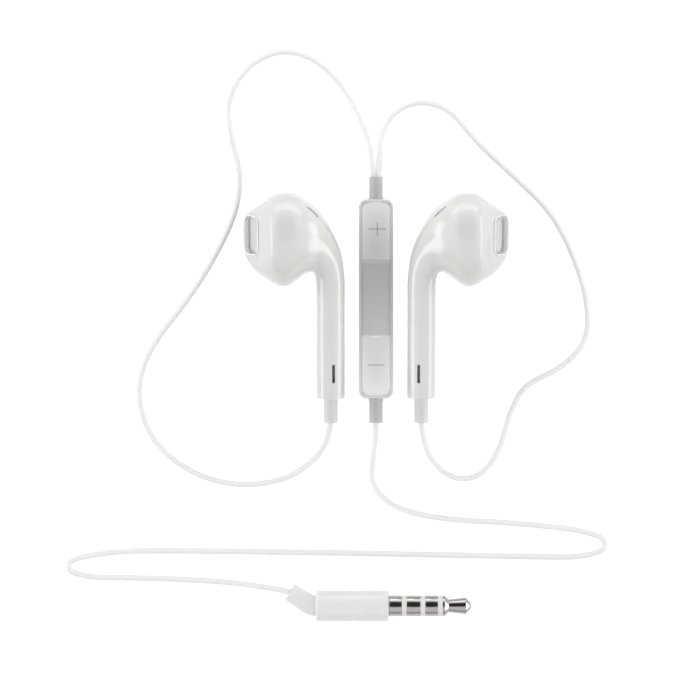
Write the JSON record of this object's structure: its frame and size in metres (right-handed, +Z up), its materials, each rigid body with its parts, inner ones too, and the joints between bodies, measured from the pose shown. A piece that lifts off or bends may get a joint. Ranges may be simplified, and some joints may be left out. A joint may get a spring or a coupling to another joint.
{
  "type": "wired earphones",
  "caption": "Corded in-ear earphones laid flat, with stemmed buds, an in-line remote with press keys and a straight jack plug.",
  "frame": {"origin": "centre of the remote's flat back, which lies on the surface with the buds, the plug and the cords", "axes": "+Z up out of the remote's keys, +Y along the remote towards the buds' cords, +X to the right bud"},
  "size_m": [0.0925, 0.0974, 0.0142],
  "materials": {
    "white_housing": "gloss",
    "white_keys": "satin",
    "pale_sleeve": "satin",
    "cord_jacket": "satin",
    "outlet_metal": "polished",
    "grille_metal": "matte",
    "dark_gauze": "woven",
    "driver_black": "matte",
    "film": "satin",
    "copper_coil": "wound",
    "plated_steel": "satin",
    "board_green": "satin",
    "chip_black": "matte",
    "microphone_metal": "satin",
    "gasket_rubber": "matte",
    "contact_metal": "polished",
    "insulator_pale": "satin"
  },
  "bodies": {
    "earphones": {"remote_back_shell": "white_housing", "remote_front_frame": "white_housing", "circuit_board": "board_green", "microphone": "microphone_metal", "microphone_gasket": "gasket_rubber", "control_chip": "chip_black", "remote_upper_sleeve": "pale_sleeve", "remote_lower_sleeve": "pale_sleeve", "dome_volume_up": "plated_steel", "dome_center": "plated_steel", "dome_volume_down": "plated_steel", "left_front_cap": "white_housing", "left_rear_shell": "white_housing", "left_rear_vent": "dark_gauze", "left_stem_tube": "white_housing", "left_slot_cloth": "dark_gauze", "left_sleeve": "pale_sleeve", "left_outlet_bezel": "outlet_metal", "left_outlet_grille": "grille_metal", "left_driver_frame": "driver_black", "left_diaphragm": "film", "left_pole_plate": "plated_steel", "left_magnet": "plated_steel", "left_magnet_cup": "plated_steel", "right_front_cap": "white_housing", "right_rear_shell": "white_housing", "right_rear_vent": "dark_gauze", "right_stem_tube": "white_housing", "right_slot_cloth": "dark_gauze", "right_sleeve": "pale_sleeve", "right_outlet_bezel": "outlet_metal", "right_outlet_grille": "grille_metal", "right_driver_frame": "driver_black", "right_diaphragm": "film", "right_pole_plate": "plated_steel", "right_magnet": "plated_steel", "right_magnet_cup": "plated_steel", "plug_sleeve_contact": "contact_metal", "plug_ring_two": "contact_metal", "plug_ring_one": "contact_metal", "plug_tip": "contact_metal", "plug_barrel": "white_housing", "plug_insulators": "insulator_pale", "plug_boot": "pale_sleeve", "cord_left": "cord_jacket", "cord_right": "cord_jacket", "cord_lower": "cord_jacket"},
    "volume_up_key": {"key_volume_up": "white_keys"},
    "center_key": {"key_center": "white_keys"},
    "volume_down_key": {"key_volume_down": "white_keys"},
    "left_coil": {"left_voice_coil": "copper_coil"},
    "right_coil": {"right_voice_coil": "copper_coil"}
  },
  "joints": [
    {"name": "volume_up_press", "type": "slide", "parent": "earphones", "child": "volume_up_key", "axis": [0, 0, -1], "range_m": [0, 0.00025], "stiffness_N_per_m": 6000, "deforming": ["dome_volume_up"]},
    {"name": "center_press", "type": "slide", "parent": "earphones", "child": "center_key", "axis": [0, 0, -1], "range_m": [0, 0.00025], "stiffness_N_per_m": 6000, "deforming": ["dome_center"]},
    {"name": "volume_down_press", "type": "slide", "parent": "earphones", "child": "volume_down_key", "axis": [0, 0, -1], "range_m": [0, 0.00025], "stiffness_N_per_m": 6000, "deforming": ["dome_volume_down"]},
    {"name": "left_coil_stroke", "type": "slide", "parent": "earphones", "child": "left_coil", "axis": [1, 0, 0], "range_m": [-0.00015, 0.00015], "stiffness_N_per_m": 800, "deforming": ["left_diaphragm"]},
    {"name": "right_coil_stroke", "type": "slide", "parent": "earphones", "child": "right_coil", "axis": [1, 0, 0], "range_m": [-0.00015, 0.00015], "stiffness_N_per_m": 800, "deforming": ["right_diaphragm"]}
  ]
}
